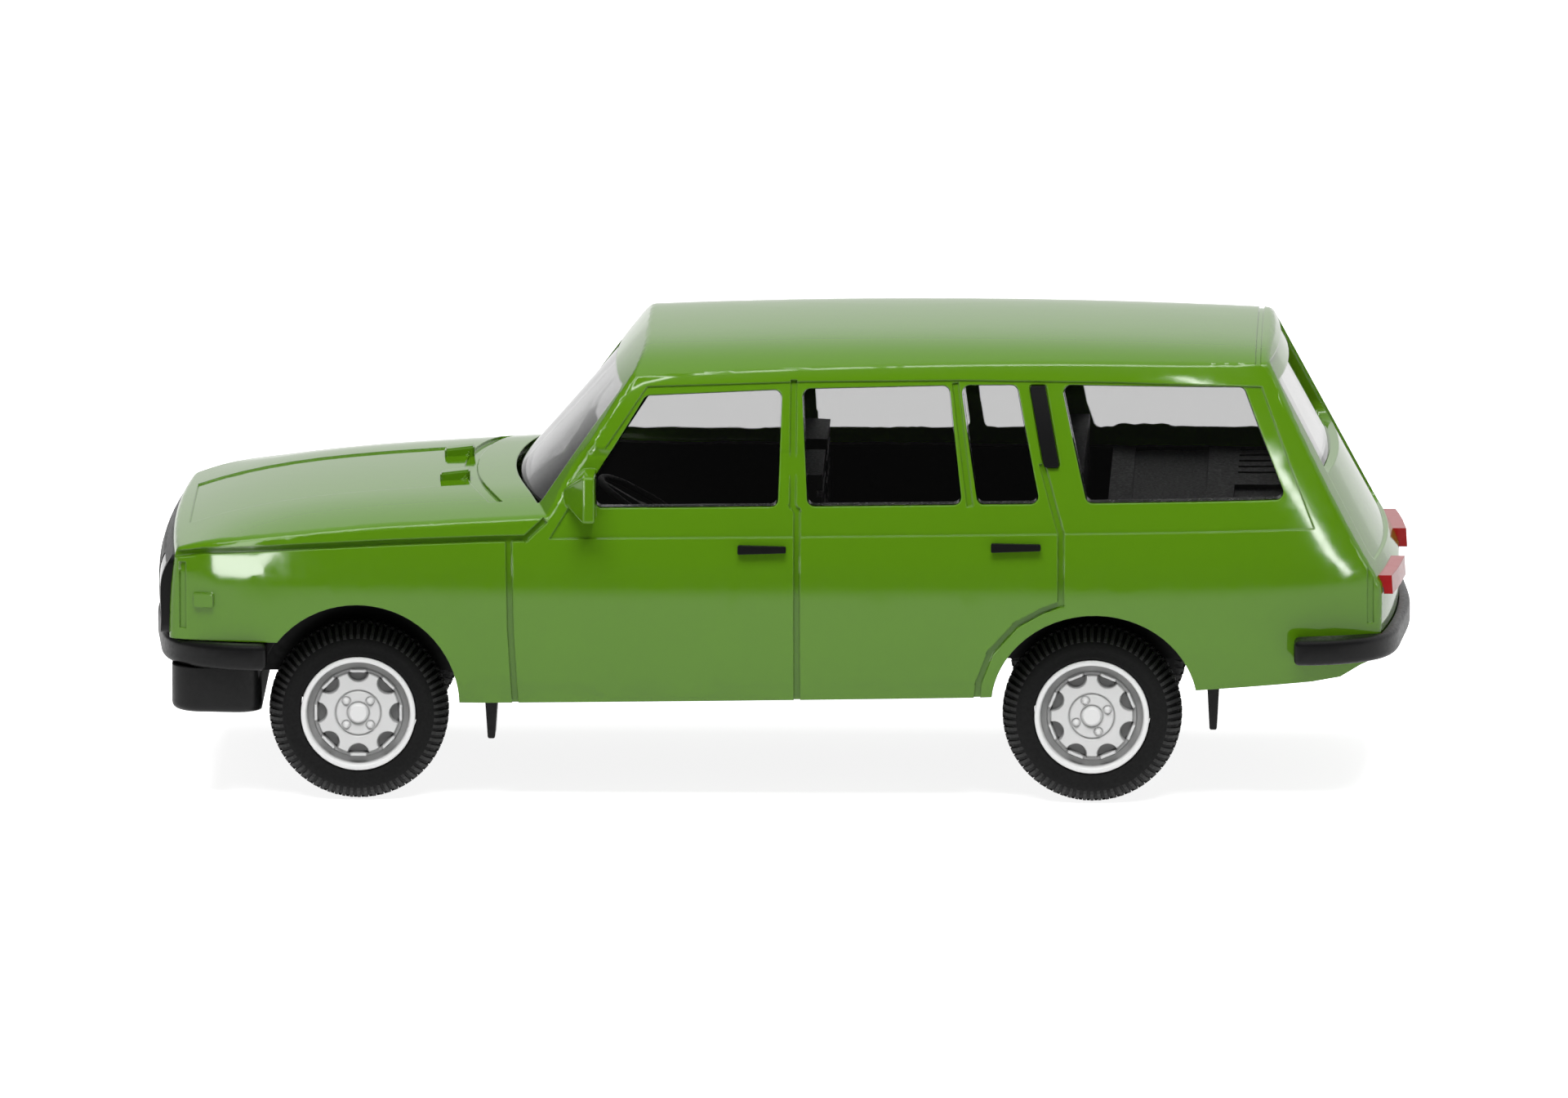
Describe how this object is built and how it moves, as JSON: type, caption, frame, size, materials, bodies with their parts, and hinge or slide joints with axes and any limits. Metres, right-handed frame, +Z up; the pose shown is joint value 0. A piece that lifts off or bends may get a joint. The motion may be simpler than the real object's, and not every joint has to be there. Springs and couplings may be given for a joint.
{
  "type": "plastic scale model of a station wagon",
  "caption": "Small plastic scale model of a five-door station wagon with a raked tail, clear windows, dark interior and wheels that roll on two axles.",
  "frame": {"origin": "on the floor under the middle of the overall length, midway between the two sides", "axes": "+X towards the front, +Y towards the car's left, +Z up; the length lies along X"},
  "size_m": [0.0482, 0.0206, 0.0177],
  "materials": {
    "green_plastic": "gloss",
    "clear_glazing": "clear",
    "interior_plastic": "satin",
    "black_plastic": "satin",
    "lamp_lens": "clear",
    "red_lens": "gloss",
    "tyre_rubber": "matte",
    "silver_rim": "satin silver",
    "axle_steel": "bright"
  },
  "bodies": {
    "car": {"body_shell": "green_plastic", "chassis": "black_plastic", "front_apron": "black_plastic", "front_bumper": "black_plastic", "front_door_handle_left": "black_plastic", "front_door_handle_right": "black_plastic", "glazing": "clear_glazing", "grille": "black_plastic", "headlamp_left": "lamp_lens", "headlamp_right": "lamp_lens", "interior_tub": "interior_plastic", "rear_bumper": "black_plastic", "rear_door_handle_left": "black_plastic", "rear_door_handle_right": "black_plastic", "steering_wheel": "interior_plastic", "tail_lamp_left": "red_lens", "tail_lamp_right": "red_lens", "vent_panel_left": "black_plastic", "vent_panel_right": "black_plastic"},
    "front_wheelset": {"axle_front": "axle_steel", "rim_front_left": "silver_rim", "rim_front_right": "silver_rim", "tyre_front_left": "tyre_rubber", "tyre_front_right": "tyre_rubber"},
    "rear_wheelset": {"axle_rear": "axle_steel", "rim_rear_left": "silver_rim", "rim_rear_right": "silver_rim", "tyre_rear_left": "tyre_rubber", "tyre_rear_right": "tyre_rubber"}
  },
  "joints": [
    {"name": "front_axle_spin", "type": "hinge", "parent": "car", "child": "front_wheelset", "pos_m": [0.01614, 0, 0.00345], "axis": [0, 1, 0], "continuous": true},
    {"name": "rear_axle_spin", "type": "hinge", "parent": "car", "child": "rear_wheelset", "pos_m": [-0.01202, 0, 0.00345], "axis": [0, 1, 0], "continuous": true}
  ]
}
